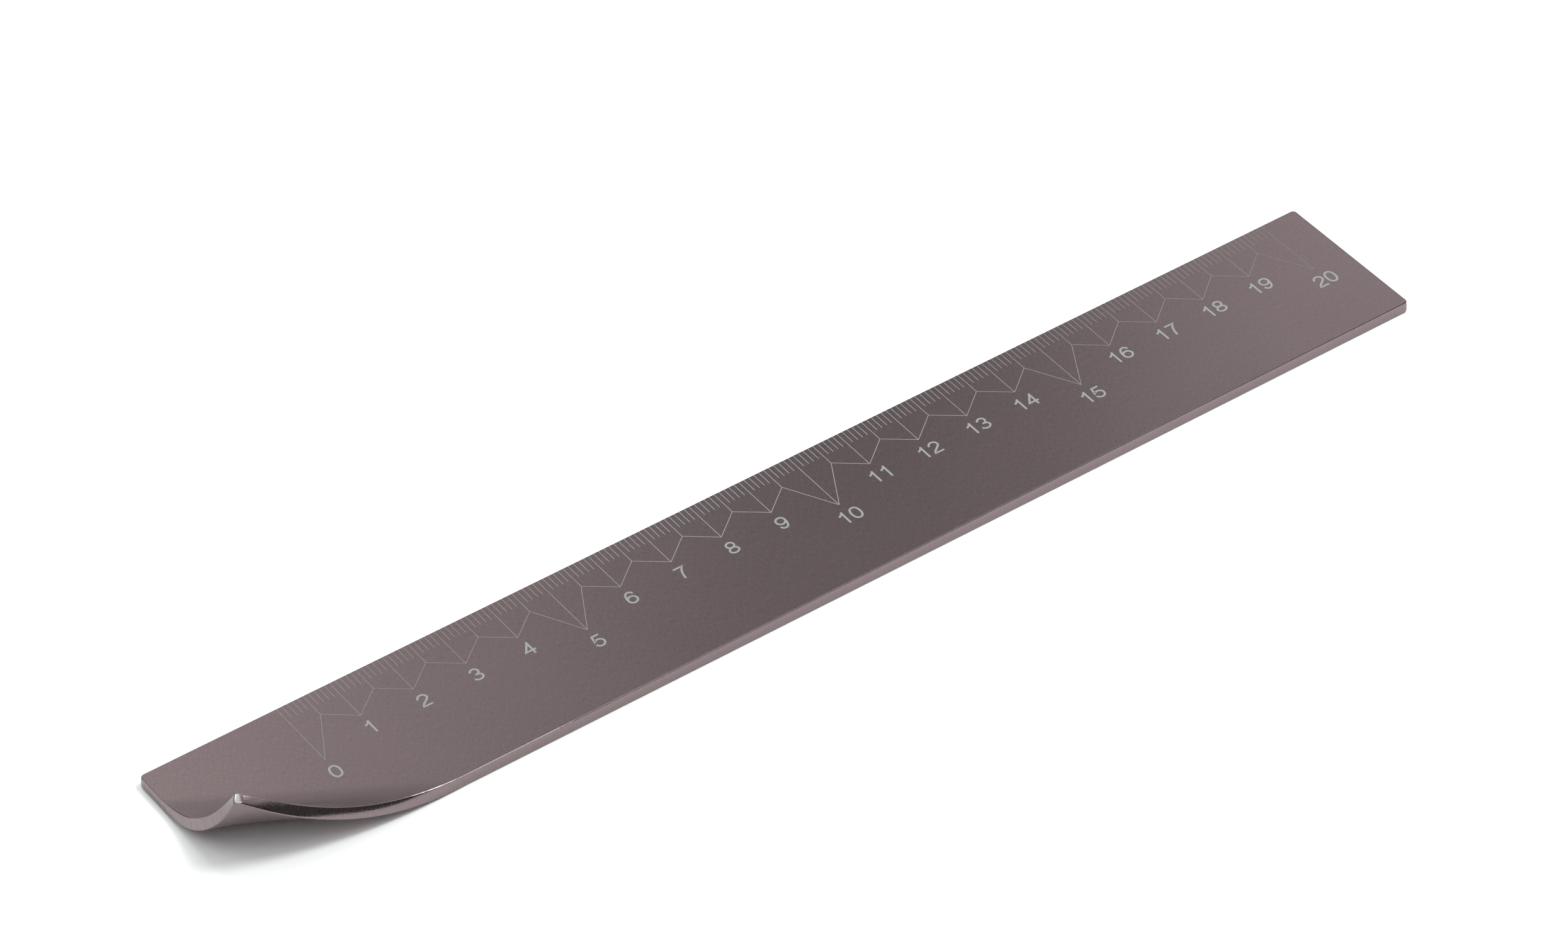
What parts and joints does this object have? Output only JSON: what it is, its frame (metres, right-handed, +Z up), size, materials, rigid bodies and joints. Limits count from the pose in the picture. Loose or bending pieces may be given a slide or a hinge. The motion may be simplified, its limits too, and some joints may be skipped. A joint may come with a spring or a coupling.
{
  "type": "ruler",
  "caption": "Flat metal ruler with a centimetre and millimetre scale along its back edge and one corner curled up as a finger lift.",
  "frame": {"origin": "middle of the footprint, on the underside that the ruler rests on", "axes": "+X along the scale towards its high end, +Y towards the graduated edge, +Z up out of the top face"},
  "size_m": [0.2331, 0.0312, 0.0142],
  "materials": {
    "anodised_aluminium": "fine satin anodising in a warm grey, with pale lines and numbers"
  },
  "bodies": {
    "root": {"ruler_blade": "anodised_aluminium"}
  },
  "joints": []
}
